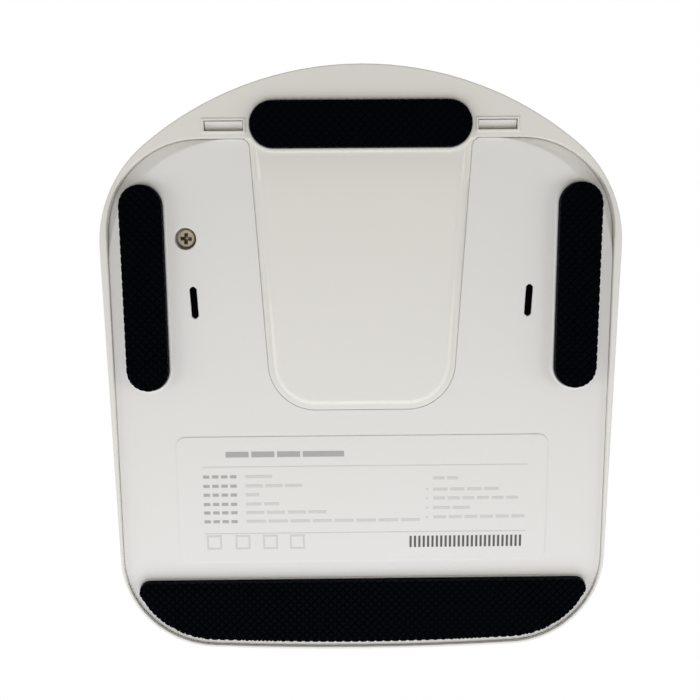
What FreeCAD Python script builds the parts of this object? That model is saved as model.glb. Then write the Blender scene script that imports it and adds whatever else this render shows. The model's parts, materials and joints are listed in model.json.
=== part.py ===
import FreeCAD, Part
import math
import os

Vector = FreeCAD.Vector

# Charging dock for a robot vacuum, standing on its pads: +Z up, +Y to the rear, origin on the floor
# under the middle of the plan. All sizes are in millimetres, all levels are heights above the floor.

# Overall size
overall_width = 129.0
overall_depth = 150.2
overall_height = 98.0

# Plan outline of the base
rear_radius = 83.7
rear_corner_radius = 32.0
front_corner_radius = 25.0
front_bow_radius = 760.0
side_taper = 1.1

# Walls, seams and fits
wall = 2.2
seam_gap = 0.08
fit_gap = 0.15
seat_gap = 0.1
parting_step = 0.3

# Lower case: rim, crescent and tongue
rim_level = 1.2
parting_level = 5.6
crescent_depth = 17.5
tongue_length = 67.2
tongue_front_half_width = 23.6
tongue_flare = 0.062
tongue_corner_radius = 12.0
tongue_margin = 1.4
tongue_slope = 0.9
tongue_level = 1.3
tongue_dip_length = 13.0
tongue_dip_steps = 5

# Bottom plate
plate_level = 2.0
plate_thickness = 1.8
plate_rear_corner_radius = 22.8
plate_side_inset = 2.2
plate_front_inset = 1.0
plate_inner_corner_radius = 2.0
corner_facet_width = 3.4
corner_facet_rise = 1.4
panel_width = 95.4
panel_depth = 33.8
panel_corner_radius = 2.5
panel_rise = 0.1
panel_to_pad = 5.0
ledge_width = 2.4
ledge_thickness = 1.2
slot_length = 8.0
slot_width = 1.8
slot_corner = 0.6
slot_edge = 22.8
slot_setback = 39.6
slot_tilt = 2.7
slot_seal_width = 4.0
slot_seal_length = 11.0
slot_seal_height = 3.0
slot_rib_sink = 0.3

# Rubber pads
pad_lip_level = 1.7
pad_lip_width = 0.4
rear_lip_level = 1.2
rear_lip_width = 0.7
rear_pad_length = 53.4
rear_pad_width = 11.0
rear_pad_setback = 14.2
side_pad_length = 51.0
side_pad_width = 10.4
side_pad_edge = 10.8
side_pad_setback = 53.7
front_pad_depth = 16.9
front_pad_inset = 2.9
front_pad_corner_radius = 2.5

# Latch windows in the crescent
latch_spacing = 66.0
latch_setback = 14.4
latch_length = 9.5
latch_width = 2.4
latch_frame = 0.5
latch_frame_rise = 0.12
foot_thickness = 2.05
foot_sink = 0.3
foot_slope = 0.9

# Plate screw and plate clips
screw_head_diameter = 4.6
screw_head_height = 1.8
screw_shank_diameter = 2.6
screw_shank_length = 5.2
screw_hole_gap = 0.2
screw_head_gap = 0.4
screw_seat_level = 5.0
screw_boss_wall = 1.3
screw_boss_height = 1.4
screw_edge = 21.2
screw_setback = 23.8
post_width = 7.0
post_rib_height = 12.0
post_rib_thickness = 2.0
clip_spacing = 60.0
clip_width = 8.0
clip_thickness = 1.2
clip_nose = 0.9

# Deck and tower
deck_level = 11.0
deck_thickness = 2.2
deck_edge = 2.0
tower_depth = 59.1
tower_corner_radius = 12.0
tower_top_edge = 4.2
soft_edge_share = 0.42

# Beacon window and indicator in the tower's front
window_width = 92.0
window_height = 26.0
window_corner_radius = 6.0
window_top_setback = 10.0
window_flange = 2.5
window_flange_thickness = 1.4
pipe_width = 6.0
pipe_height = 1.8
pipe_flange = 1.2
pipe_flange_thickness = 1.2
pipe_drop = 9.0

# Cable bay in the tower's back
bay_width = 58.0
bay_height = 52.0
bay_level = 17.0
bay_depth = 33.6
bay_wall = 1.8
bay_corner_radius = 5.0
bay_foot_width = 10.0
bay_foot_height = 8.0

# Appliance inlet in the bay
inlet_width = 20.0
inlet_height = 12.0
inlet_length = 14.0
inlet_flange = 2.0
inlet_flange_thickness = 1.5
inlet_rise = 14.0
socket_lobe_radius = 4.8
socket_lobe_spacing = 8.0
socket_depth = 12.0
pin_diameter = 2.4
pin_spacing = 8.6
pin_recess = 2.0

# Sprung charging contacts in the deck
contact_length = 24.0
contact_width = 8.0
contact_spacing = 52.0
contact_setback = 44.0
contact_proud = 2.0
contact_edge = 1.2
contact_flange = 1.5
contact_flange_thickness = 1.0
contact_gap = 0.4
cup_wall = 1.4
contact_rest_gap = 0.2
cup_floor = 1.1
spring_width = 5.0
spring_span = 20.0
spring_crest = 8.0
spring_foot = 2.5
spring_thickness = 0.4
spring_gap = 0.05

# Power board at the bay's side, and what it carries
board_thickness = 1.6
power_board_width = 26.0
power_board_height = 48.0
power_board_rise = 1.0
power_board_front = 14.5
board_stand_off = 2.2
board_clip_width = 5.0
board_clip_thickness = 1.4
board_clip_nose = 1.0
part_gap = 0.05
transformer_core = 17.0
transformer_core_depth = 9.0
transformer_height = 15.0
transformer_bobbin = 12.0
transformer_bobbin_height = 12.0
bulk_capacitor_diameter = 12.5
bulk_capacitor_height = 20.0
output_capacitor_width = 9.0
output_capacitor_thickness = 6.0
output_capacitor_height = 11.0
choke_width = 10.0
choke_thickness = 8.0
choke_height = 11.0
rectifier_width = 10.0
rectifier_thickness = 3.5
rectifier_height = 9.0
fuse_width = 8.4
fuse_thickness = 4.3
fuse_height = 7.7
heat_sink_width = 22.0
heat_sink_height = 14.0
heat_sink_fin = 1.2
heat_sink_reach = 6.0

# Places of the components, as shares of the power board's width and height
transformer_place = (0.5, 0.53)
bulk_capacitor_place = (0.3, 0.2)
output_capacitor_place = (0.2, 0.92)
choke_place = (0.78, 0.12)
rectifier_place = (0.78, 0.28)
fuse_place = (0.7, 0.92)
heat_sink_place = (0.5, 0.715)

# Beacon board behind the window
beacon_board_width = 68.0
beacon_board_height = 34.0
beacon_board_drop = 6.0
beacon_clip_height = 6.0
emitter_width = 5.0
emitter_length = 3.4
emitter_pitch = 24.0
emitter_count = 3
emitter_to_window = 0.5
lamp_width = 4.0
lamp_height = 2.0

# Places worked out from the sizes above
tangent_digits = 9
same_point = 0.004
half_width = overall_width / 2
half_depth = overall_depth / 2
rear_centre_y = half_depth - rear_radius
corner_x = half_width - rear_corner_radius
corner_reach = rear_radius - rear_corner_radius
corner_y = rear_centre_y + math.sqrt(corner_reach ** 2 - corner_x ** 2)
front_corner_x = half_width - side_taper - front_corner_radius
bow_centre_y = front_bow_radius - half_depth
bow_reach = front_bow_radius - front_corner_radius
front_corner_y = bow_centre_y - math.sqrt(bow_reach ** 2 - front_corner_x ** 2)
tower_front = half_depth - tower_depth
plate_top = plate_level + plate_thickness
ledge_top = plate_top + ledge_thickness
plate_rear = half_depth - crescent_depth
tongue_front = plate_rear - tongue_length
front_pad_rear = -half_depth + front_pad_inset + front_pad_depth
latch_y = half_depth - latch_setback
window_top = overall_height - window_top_setback
window_middle = window_top - window_height / 2
pipe_level = window_top - window_height - pipe_drop
bay_front = half_depth - bay_depth
bay_top = bay_level + bay_height
inlet_level = bay_level + inlet_rise
contact_x = contact_spacing / 2
contact_y = tower_front - contact_setback
boss_top = screw_seat_level + screw_boss_height
screw_x = half_width - screw_edge
screw_y = plate_rear - screw_setback

# Corner circles (x, y, radius) of the outlines, from the rear to the front on the +X side
body_circles = [
    (0.0, rear_centre_y, rear_radius),
    (corner_x, corner_y, rear_corner_radius),
    (front_corner_x, front_corner_y, front_corner_radius),
    (0.0, bow_centre_y, front_bow_radius),
]
plate_circles = [
    (half_width - plate_side_inset - plate_rear_corner_radius,
     plate_rear - plate_rear_corner_radius, plate_rear_corner_radius),
    (front_corner_x, front_corner_y, front_corner_radius - plate_front_inset),
    (0.0, bow_centre_y, front_bow_radius - plate_front_inset),
]
tower_circles = [
    (0.0, rear_centre_y, rear_radius),
    (corner_x, corner_y, rear_corner_radius),
    (half_width - tower_corner_radius, tower_front + tower_corner_radius, tower_corner_radius),
]
pad_corner_reach = front_corner_radius - front_pad_inset - front_pad_corner_radius
pad_corner_drop = front_corner_y - front_pad_rear + front_pad_corner_radius
front_pad_circles = [
    (front_corner_x + math.sqrt(pad_corner_reach ** 2 - pad_corner_drop ** 2),
     front_pad_rear - front_pad_corner_radius, front_pad_corner_radius),
    (front_corner_x, front_corner_y, front_corner_radius - front_pad_inset),
    (0.0, bow_centre_y, front_bow_radius - front_pad_inset),
]


def inset(circles, distance):
    """The same outline, moved inwards by a distance, or outwards where it is negative."""
    return [(x, y, radius - distance) for x, y, radius in circles]


def round_point(circle, angle, side=1):
    """Point on a circle at an angle, on the +X side or mirrored to the -X side."""
    x, y, radius = circle
    return Vector(side * (x + radius * math.cos(angle)), y + radius * math.sin(angle), 0)


def tangent_angle(first, second):
    """Direction in which the line that touches two circles from outside faces."""
    run_x = second[0] - first[0]
    run_y = second[1] - first[1]
    share = round((first[2] - second[2]) / math.hypot(run_x, run_y), tangent_digits)
    return math.atan2(run_y, run_x) + math.acos(max(-1.0, min(1.0, share)))


def line(start, end):
    return Part.LineSegment(start, end).toShape()


def arc(start, middle, end):
    return Part.Arc(start, middle, end).toShape()


def outline(circles, level=0.0):
    """Closed outline, even about X, that rolls round corner circles from the rear to the front."""
    facing = [math.pi / 2]
    for first, second in zip(circles, circles[1:]):
        angle = tangent_angle(first, second)
        while angle > facing[-1] + math.pi / 2:
            angle -= 2 * math.pi
        facing.append(angle)
    facing.append(-math.pi / 2)
    halves = {1: [], -1: []}
    for place, circle in enumerate(circles):
        begin, end = facing[place], facing[place + 1]
        for side, half in halves.items():
            if circle[0] != 0.0:
                middle = (begin + end) / 2
                half.append(arc(round_point(circle, begin, side), round_point(circle, middle, side),
                                round_point(circle, end, side)))
            if place + 1 < len(circles):
                start = round_point(circle, end, side)
                finish = round_point(circles[place + 1], end, side)
                if start.distanceToPoint(finish) > same_point:
                    half.append(line(start, finish))
    rear, front = circles[0], circles[-1]
    if rear[0] == 0.0:
        back = arc(round_point(rear, facing[1], -1), round_point(rear, facing[0]),
                   round_point(rear, facing[1]))
    else:
        back = line(round_point(rear, facing[0], -1), round_point(rear, facing[0]))
    if front[0] == 0.0:
        nose = arc(round_point(front, facing[-2]), round_point(front, facing[-1]),
                   round_point(front, facing[-2], -1))
    else:
        nose = line(round_point(front, facing[-1]), round_point(front, facing[-1], -1))
    closed = Part.Wire([back] + halves[1] + [nose] + halves[-1][::-1])
    closed.translate(Vector(0, 0, level))
    return closed


def prism(circles, low, high):
    """Upright solid on an outline."""
    return Part.Face(outline(circles, low)).extrude(Vector(0, 0, high - low))


def prism_along_y(circles, near, far):
    """Solid on an outline drawn in X and Z, from one Y to another."""
    solid = prism(circles, 0.0, far - near)
    solid.rotate(Vector(0, 0, 0), Vector(1, 0, 0), 90)
    solid.translate(Vector(0, far, 0))
    return solid


def prism_along_x(points, near, far):
    """Solid on a straight-sided section given as (y, z) points, from one X to another."""
    corners = [Vector(near, y, z) for y, z in points]
    section = Part.Face(Part.makePolygon(corners + corners[:1]))
    return section.extrude(Vector(far - near, 0, 0))


def block(x_range, y_range, z_range):
    """Box between two values on each axis."""
    low = Vector(x_range[0], y_range[0], z_range[0])
    return Part.makeBox(x_range[1] - x_range[0], y_range[1] - y_range[0], z_range[1] - z_range[0], low)


def rod(diameter, foot, top):
    """Round bar from one point to another."""
    return Part.makeCylinder(diameter / 2, (top - foot).Length, foot, top - foot)


def rounded_panel(width, low, high, radius):
    """Corner circles of a rounded rectangle between two heights."""
    return [(width / 2 - radius, high - radius, radius), (width / 2 - radius, low + radius, radius)]


def stadium(length, width):
    """Corner circle of a round-ended bar along X."""
    return [((length - width) / 2, 0.0, width / 2)]


def moved(shape, x=0.0, y=0.0, z=0.0):
    shape.translate(Vector(x, y, z))
    return shape


def end_edges(shape, level):
    """Edges that lie flat at one level."""
    return [edge for edge in shape.Edges
            if max(abs(edge.BoundBox.ZMin - level), abs(edge.BoundBox.ZMax - level)) < same_point]


def upright_edges(shape, x, y, reach):
    """Upright edges near a place in plan and near its mirror image."""
    return [edge for edge in shape.Edges
            if edge.BoundBox.XLength + edge.BoundBox.YLength < same_point
            and math.hypot(abs(edge.CenterOfMass.x) - x, edge.CenterOfMass.y - y) < reach]


def soften(shape, level, size):
    """Round off a flat top edge in three even facets."""
    shape = shape.makeChamfer(size, end_edges(shape, level))
    cut = size * soft_edge_share
    return shape.makeChamfer(cut, end_edges(shape, level) + end_edges(shape, level - size))


# Tongue

def tongue_circles(grow):
    """Corner circles of the tongue, from well inside the crescent to its front end."""
    front_x = tongue_front_half_width - tongue_corner_radius
    front_y = tongue_front + tongue_corner_radius
    rear_y = plate_rear + crescent_depth / 2
    rear_x = front_x + tongue_flare * (rear_y - front_y)
    return inset([(rear_x, rear_y, tongue_corner_radius), (front_x, front_y, tongue_corner_radius)], -grow)


def tongue_half_width():
    """Half width of the tongue where it meets the plate's rear edge."""
    rear_x, rear_y, radius = tongue_circles(0.0)[0]
    return rear_x + radius - tongue_flare * (rear_y - plate_rear)


def tongue_crown():
    """Raised face of the tongue: it slopes up from a flat margin and dips towards the rear."""
    foot = outline(tongue_circles(-tongue_margin), plate_level)
    face = outline(tongue_circles(-tongue_margin - tongue_slope), tongue_level)
    crown = Part.makeLoft([face, foot], True, True)
    reach = tongue_half_width() + tongue_margin
    behind = block((-reach, reach), (plate_rear, overall_depth), (0.0, plate_level))
    dip = [(plate_rear, 0.0), (plate_rear - tongue_dip_length, 0.0)]
    for step in range(tongue_dip_steps + 1):
        share = step / tongue_dip_steps
        dip.append((plate_rear - tongue_dip_length * (1.0 - share),
                    tongue_level + (plate_level - tongue_level) * share ** 2))
    return crown.cut(behind).cut(prism_along_x(dip, -reach, reach))


# Pads: outlines are shared by the pads and by the seats that hold them

def rear_pad_place(shape):
    return moved(shape, y=half_depth - rear_pad_setback)


def side_pad_place(shape, side):
    shape.rotate(Vector(0, 0, 0), Vector(0, 0, 1), 90)
    return moved(shape, x=side * (half_width - side_pad_edge), y=half_depth - side_pad_setback)


def front_pad_place(shape):
    return shape


def pad_seat(circles, place, carrier, carrier_circles, lip_level, lip_width):
    """A carrier with a thin lip round a pad and a flat seat inside the lip."""
    lip = place(prism(inset(circles, -fit_gap - lip_width), lip_level, plate_top))
    seat = place(prism(inset(circles, -fit_gap), 0.0, plate_level))
    return carrier.fuse(lip.common(prism(carrier_circles, 0.0, plate_top))).cut(seat)


def pad(circles, place):
    """Rubber pad between the floor and its seat."""
    return place(prism(circles, 0.0, plate_level))


rear_pad_outline = stadium(rear_pad_length, rear_pad_width)
side_pad_outline = stadium(side_pad_length, side_pad_width)


def left_pad_place(shape):
    return side_pad_place(shape, -1)


def right_pad_place(shape):
    return side_pad_place(shape, 1)


# Plate screw

def plate_screw():
    """Pan head below its seat in the plate, shank up into the post of the upper case."""
    seat = Vector(screw_x, screw_y, screw_seat_level)
    head = rod(screw_head_diameter, seat - Vector(0, 0, screw_head_height), seat)
    shank = rod(screw_shank_diameter, seat, seat + Vector(0, 0, screw_shank_length))
    return head.fuse(shank).removeSplitter()


# Lower case

def latch_opening(side, grow, low, high):
    """Upright hole of a latch window, grown all round."""
    middle = side * latch_spacing / 2
    reach_x = latch_length / 2 + grow
    reach_y = latch_width / 2 + grow
    return block((middle - reach_x, middle + reach_x), (latch_y - reach_y, latch_y + reach_y), (low, high))


def lower_case():
    """Rim wall, crescent floor and tongue, with a ledge that the bottom plate seats against."""
    rim = inset(body_circles, parting_step)
    case = prism(rim, rim_level, parting_level)
    case = case.cut(prism(inset(body_circles, wall), ledge_top, parting_level))
    pocket = inset(plate_circles, -seam_gap)
    case = case.cut(prism(pocket, 0.0, plate_level))
    plate_room = prism(pocket, plate_level, plate_top)
    plate_room = plate_room.cut(prism(tongue_circles(0.0), plate_level, plate_top))
    inner_corners = upright_edges(plate_room, tongue_half_width(), plate_rear, corner_facet_width)
    case = case.cut(plate_room.makeFillet(plate_inner_corner_radius + seam_gap, inner_corners))
    ledge_hole = prism(inset(plate_circles, ledge_width), plate_top, ledge_top)
    case = case.cut(ledge_hole.cut(prism(tongue_circles(ledge_width), plate_top, ledge_top)))
    case = case.fuse(tongue_crown())
    case = pad_seat(rear_pad_outline, rear_pad_place, case, rim, rear_lip_level, rear_lip_width)
    for side in (-1, 1):
        case = case.fuse(latch_opening(side, latch_frame, rim_level - latch_frame_rise, plate_level))
        case = case.cut(latch_opening(side, 0.0, 0.0, ledge_top))
    return case.removeSplitter()


# Bottom plate

def plate_slot(side, grow, low):
    """What a narrow slot beside the tongue takes out of the plate, turned a little towards the front."""
    reach_x = slot_width / 2 + grow
    reach_y = slot_length / 2 + grow
    slot = block((-reach_x, reach_x), (-reach_y, reach_y), (low, plate_top))
    upright = [edge for edge in slot.Edges if edge.BoundBox.ZLength > slot_corner]
    return slot_place(slot.makeChamfer(slot_corner, upright), side)


def slot_place(shape, side):
    shape.rotate(Vector(0, 0, 0), Vector(0, 0, 1), -side * slot_tilt)
    return moved(shape, x=side * (half_width - slot_edge), y=plate_rear - slot_setback)


def slot_seal(side):
    """Foam strip on the plate's inside, with a rib that fills a slot against light and dust."""
    reach_x = slot_seal_width / 2
    reach_y = slot_seal_length / 2
    strip = block((-reach_x, reach_x), (-reach_y, reach_y), (plate_top, plate_top + slot_seal_height))
    return slot_place(strip, side).fuse(plate_slot(side, -part_gap, plate_level + slot_rib_sink))


def corner_wire(radius, level):
    """Outline of the plate's rear corner at the +X side, rounded with a radius."""
    right = half_width - plate_side_inset + seam_gap / 2
    rear = plate_rear + seam_gap / 2
    reach = corner_facet_radius() + plate_side_inset
    bend = radius * math.sqrt(0.5)
    inner = Vector(right - reach, rear - reach, level)
    side_end = Vector(right, rear - reach, level)
    rear_end = Vector(right - reach, rear, level)
    first = Vector(right, rear - radius, level)
    middle = Vector(right - radius + bend, rear - radius + bend, level)
    last = Vector(right - radius, rear, level)
    return Part.Wire([line(inner, side_end), line(side_end, first), arc(first, middle, last),
                      line(last, rear_end), line(rear_end, inner)])


def corner_facet_radius():
    """Radius of the facet's inner line, which leaves the plate's corner by the facet's width."""
    return plate_rear_corner_radius + corner_facet_width / (math.sqrt(2.0) - 1.0)


def corner_facet():
    """What a sloped facet takes off the plate's rear corner at the +X side."""
    high = plate_level + corner_facet_rise
    kept = Part.makeLoft([corner_wire(corner_facet_radius(), plate_level),
                          corner_wire(plate_rear_corner_radius, high)], True, True)
    reach = corner_facet_radius()
    right = half_width - plate_side_inset
    corner = block((right - reach, half_width), (plate_rear - reach, half_depth), (plate_level, high))
    return corner.cut(kept)


def plate_clip(side):
    """Clip on the plate's front edge that reaches over the ledge of the lower case."""
    middle = side * clip_spacing / 2
    ledge_radius = front_bow_radius - plate_front_inset - ledge_width
    ledge_y = bow_centre_y - math.sqrt(ledge_radius ** 2 - (middle + side * clip_width / 2) ** 2)
    front = ledge_y + fit_gap
    reach = (middle - clip_width / 2, middle + clip_width / 2)
    nose_low = ledge_top + seat_gap
    stem = block(reach, (front, front + clip_thickness), (plate_top, nose_low + clip_thickness))
    nose = block(reach, (front - clip_nose, front + clip_thickness), (nose_low, nose_low + clip_thickness))
    return stem.fuse(nose)


def bottom_plate():
    """U-shaped plate with faceted rear corners, seats for three pads, a boss, clips and a raised panel."""
    panel_front = front_pad_rear + panel_to_pad
    panel = rounded_panel(panel_width, panel_front, panel_front + panel_depth, panel_corner_radius)
    plate = prism(plate_circles, plate_level, plate_top)
    plate = plate.fuse(prism(panel, plate_level - panel_rise, plate_top))
    plate = plate.cut(prism(tongue_circles(seam_gap), 0.0, ledge_top))
    inner_corners = upright_edges(plate, tongue_half_width(), plate_rear, corner_facet_width)
    plate = plate.makeFillet(plate_inner_corner_radius, inner_corners)
    plate = plate.cut(corner_facet()).cut(mirrored(corner_facet()))
    for place, circles in ((left_pad_place, side_pad_outline), (right_pad_place, side_pad_outline),
                           (front_pad_place, front_pad_circles)):
        plate = pad_seat(circles, place, plate, plate_circles, pad_lip_level, pad_lip_width)
    for side in (-1, 1):
        plate = plate.cut(plate_slot(side, 0.0, 0.0)).fuse(plate_clip(side))
    recess = screw_head_diameter + 2 * screw_head_gap
    reach = recess / 2 + screw_boss_wall
    boss = block((screw_x - reach, screw_x + reach), (screw_y - reach, screw_y + reach),
                 (plate_top, boss_top))
    foot = Vector(screw_x, screw_y, 0)
    plate = plate.fuse(boss).cut(rod(recess, foot, foot + Vector(0, 0, screw_seat_level)))
    plate = plate.cut(rod(screw_shank_diameter + 2 * screw_hole_gap, foot, foot + Vector(0, 0, boss_top)))
    return plate.removeSplitter()


# Deck and tower

def tower_body(distance, foot):
    """Tower moved inwards by a distance, from a foot level up."""
    return prism(inset(tower_circles, distance), foot, overall_height - distance)


def window_outline(grow):
    low = window_top - window_height
    return inset(rounded_panel(window_width, low, window_top, window_corner_radius), -grow)


def bay_outline(grow):
    return inset(rounded_panel(bay_width, bay_level, bay_top, bay_corner_radius), -grow)


def contact_box(grow, low, high):
    """Upright box round the contact's outline, at the +X contact."""
    reach_x = contact_length / 2 + grow
    reach_y = contact_width / 2 + grow
    return block((contact_x - reach_x, contact_x + reach_x), (contact_y - reach_y, contact_y + reach_y),
                 (low, high))


def mirrored(shape):
    return shape.mirror(Vector(0, 0, 0), Vector(1, 0, 0))


def screw_post():
    """Post of the plate screw, tied to the tower's side wall by a rib."""
    top = boss_top + post_rib_height
    reach = post_width / 2
    post = block((screw_x - reach, screw_x + reach), (screw_y - reach, screw_y + reach), (boss_top, top))
    rib = block((screw_x, half_width), (screw_y - post_rib_thickness / 2, screw_y + post_rib_thickness / 2),
                (boss_top, top))
    pilot = rod(screw_shank_diameter + 2 * part_gap, Vector(screw_x, screw_y, 0),
                Vector(screw_x, screw_y, screw_seat_level + screw_shank_length + screw_hole_gap))
    return post.fuse(rib.common(tower_body(wall / 2, parting_level))).cut(pilot)


def beacon_board_face():
    """Y of the beacon board's front face, behind the window and the emitters."""
    return tower_front + wall + window_flange_thickness + emitter_to_window + emitter_length


def beacon_clip(side):
    """Clip on the tower's front wall that holds one side of the beacon board."""
    edge = beacon_board_width / 2 + part_gap
    face = beacon_board_face()
    back = face + board_thickness + part_gap
    levels = (pipe_level - beacon_clip_height / 2, pipe_level + beacon_clip_height / 2)
    root = tower_front + wall / 2
    seat = block((edge - board_clip_nose, edge), (root, face - part_gap), levels)
    stem = block((edge, edge + board_clip_thickness), (root, back + board_clip_thickness), levels)
    nose = block((edge - board_clip_nose, edge + board_clip_thickness),
                 (back, back + board_clip_thickness), levels)
    clip = seat.fuse(stem).fuse(nose)
    return clip if side > 0 else mirrored(clip)


def upper_case():
    """Deck and tower in one shell, open below, with a post, clips and openings."""
    deck = soften(prism(body_circles, parting_level, deck_level), deck_level, deck_edge)
    tower = soften(tower_body(0.0, parting_level), overall_height, tower_top_edge)
    outer = deck.fuse(tower).removeSplitter()
    room = prism(inset(body_circles, wall), parting_level, deck_level - deck_thickness)
    case = outer.cut(room).cut(tower_body(wall, parting_level))
    hole = contact_box(contact_gap, 0.0, overall_height)
    case = case.cut(hole).cut(mirrored(hole))
    case = case.fuse(screw_post())
    case = case.cut(prism_along_y(window_outline(0.0), 0.0, bay_front))
    case = case.cut(prism_along_y(bay_outline(0.0), bay_front, overall_depth))
    case = case.cut(pipe_block(fit_gap, 0.0, bay_front))
    for side in (-1, 1):
        case = case.fuse(beacon_clip(side))
    return case.removeSplitter()


def beacon_window():
    """Dark window flush with the tower's front, held by a flange behind the wall."""
    back = wall + seat_gap + window_flange_thickness
    pane = prism_along_y(window_outline(-fit_gap), tower_front, tower_front + back)
    reach_x = window_width / 2 + window_flange
    flange = block((-reach_x, reach_x), (tower_front + wall + seat_gap, tower_front + back),
                   (window_top - window_height - window_flange, window_top + window_flange))
    return pane.fuse(flange).removeSplitter()


def pipe_block(grow, near, far):
    """Flat bar on the indicator's outline, grown all round."""
    reach_x = pipe_width / 2 + grow
    reach_z = pipe_height / 2 + grow
    return block((-reach_x, reach_x), (near, far), (pipe_level - reach_z, pipe_level + reach_z))


def indicator_pipe():
    """Flat light pipe through the tower's front, with a flange behind the wall."""
    inner = tower_front + wall + seat_gap
    stem = pipe_block(0.0, tower_front, inner + pipe_flange_thickness)
    return stem.fuse(pipe_block(pipe_flange, inner, inner + pipe_flange_thickness)).removeSplitter()


# Cable bay

def latch_foot(side):
    """Foot of the bay that stands in a window of the crescent, with an end that slopes to the front."""
    rear = latch_y + latch_width / 2 - fit_gap
    front = rear - foot_thickness
    low = rim_level + foot_sink
    middle = side * latch_spacing / 2
    reach = latch_length / 2 - fit_gap
    return prism_along_x([(front, bay_level), (front, low + foot_slope), (rear, low), (rear, bay_level)],
                         middle - reach, middle + reach)


def power_board_x():
    """X of the power board's inner face, a stand-off away from the bay's side wall."""
    return bay_width / 2 + bay_wall + board_stand_off


def power_board_levels():
    low = bay_level + power_board_rise
    return low, low + power_board_height


def power_board_clip(y, level, up):
    """Clip on the bay's side wall at the board's lower or upper edge, with a seat behind the board."""
    root = bay_width / 2 + bay_wall / 2
    face = power_board_x()
    outer = face + board_thickness + part_gap
    edge = level + up * part_gap
    far = edge + up * board_clip_thickness
    inner = edge - up * board_clip_nose
    reach = (y - board_clip_width / 2, y + board_clip_width / 2)
    seat = block((root, face - part_gap), reach, (min(inner, far), max(inner, far)))
    stem = block((root, outer + board_clip_thickness), reach, (min(edge, far), max(edge, far)))
    nose = block((outer, outer + board_clip_thickness), reach, (min(inner, far), max(inner, far)))
    return seat.fuse(stem).fuse(nose)


def cable_bay():
    """Pocket open to the rear that meets the tower's wall from inside, with latch feet and board clips."""
    inside = prism_along_y(bay_outline(0.0), bay_front, overall_depth)
    room = tower_body(wall + seat_gap, rim_level)
    reach_x = bay_width / 2 + bay_wall
    bay = block((-reach_x, reach_x), (bay_front - bay_wall, overall_depth),
                (bay_level - bay_wall, bay_top + bay_wall)).common(room)
    for side in (-1, 1):
        middle = side * latch_spacing / 2
        foot = block((middle - bay_foot_width / 2, middle + bay_foot_width / 2),
                     (latch_y - latch_width, half_depth),
                     (bay_level - bay_foot_height / 2, bay_level + bay_foot_height / 2))
        bay = bay.fuse(foot.common(room)).fuse(latch_foot(side))
    low, high = power_board_levels()
    front = tower_front + power_board_front
    for y in (bay_front + board_clip_width / 2, front + power_board_width - board_clip_width / 2):
        bay = bay.fuse(power_board_clip(y, low, -1)).fuse(power_board_clip(y, high, 1))
    bay = bay.cut(inside)
    hole_x = inlet_width / 2 + fit_gap
    hole_z = inlet_height / 2 + fit_gap
    bay = bay.cut(block((-hole_x, hole_x), (bay_front - bay_wall, bay_front),
                        (inlet_level - hole_z, inlet_level + hole_z)))
    return bay.removeSplitter()


# Inlet

def inlet_face():
    return bay_front + inlet_flange_thickness


def mains_inlet():
    """Inlet body through the bay's front wall, with a flange and a two-lobed socket."""
    half = inlet_width / 2
    low = inlet_level - inlet_height / 2
    high = inlet_level + inlet_height / 2
    body = block((-half, half), (inlet_face() - inlet_length, bay_front), (low, high))
    flange = block((-half - inlet_flange, half + inlet_flange), (bay_front, inlet_face()),
                   (low - inlet_flange, high + inlet_flange))
    body = body.fuse(flange)
    floor = inlet_face() - socket_depth
    for side in (-1, 1):
        lobe_x = side * socket_lobe_spacing / 2
        body = body.cut(rod(2 * socket_lobe_radius, Vector(lobe_x, floor, inlet_level),
                            Vector(lobe_x, inlet_face(), inlet_level)))
    return body.removeSplitter()


def inlet_pins():
    """Two round pins that stand on the socket's floor."""
    pins = []
    for side in (-1, 1):
        pin_x = side * pin_spacing / 2
        pins.append(rod(pin_diameter, Vector(pin_x, inlet_face() - socket_depth, inlet_level),
                        Vector(pin_x, inlet_face() - pin_recess, inlet_level)))
    return Part.makeCompound(pins)


# Charging contacts, drawn at the +X side

def contact_flange_top():
    return deck_level - deck_thickness - contact_rest_gap


def contact():
    """Plated contact through the deck, with a flange that the deck holds back."""
    crown = deck_level + contact_proud
    low = contact_flange_top() - contact_flange_thickness
    stem = soften(contact_box(0.0, low, crown), crown, contact_edge)
    flange = contact_box(contact_flange, low, contact_flange_top())
    return stem.fuse(flange).removeSplitter()


def contact_cup():
    """Cup between the bottom plate and the deck, round the contact's flange and its spring."""
    low = plate_top + seat_gap
    high = deck_level - deck_thickness
    outer = contact_box(contact_flange + contact_gap + cup_wall, low, high)
    return outer.cut(contact_box(contact_flange + contact_gap, low + cup_floor, high))


def contact_spring():
    """Folded leaf between the cup's floor and the contact."""
    low = plate_top + seat_gap + cup_floor + spring_gap
    high = contact_flange_top() - contact_flange_thickness - spring_gap
    crest = spring_crest / 2
    foot = spring_span / 2
    toe = foot + spring_foot
    under = [(-toe, low), (-foot, low), (-crest, high - spring_thickness), (crest, high - spring_thickness),
             (foot, low), (toe, low)]
    over = [(x, level + spring_thickness) for x, level in reversed(under)]
    corners = [Vector(contact_x + x, contact_y - spring_width / 2, level) for x, level in under + over]
    section = Part.Face(Part.makePolygon(corners + corners[:1]))
    return section.extrude(Vector(0, spring_width, 0))


# Boards

def power_board():
    """Upright board at the bay's +X side, held by clips."""
    front = tower_front + power_board_front
    return block((power_board_x(), power_board_x() + board_thickness), (front, front + power_board_width),
                 power_board_levels())


def board_face():
    """X of the power board's face that carries the components, with the gap of a solder joint."""
    return power_board_x() + board_thickness + part_gap


def board_point(place):
    """Point on the power board's face at shares of its width and height."""
    y_share, z_share = place
    low, high = power_board_levels()
    y = tower_front + power_board_front + y_share * power_board_width
    return Vector(board_face(), y, low + z_share * (high - low))


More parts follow.
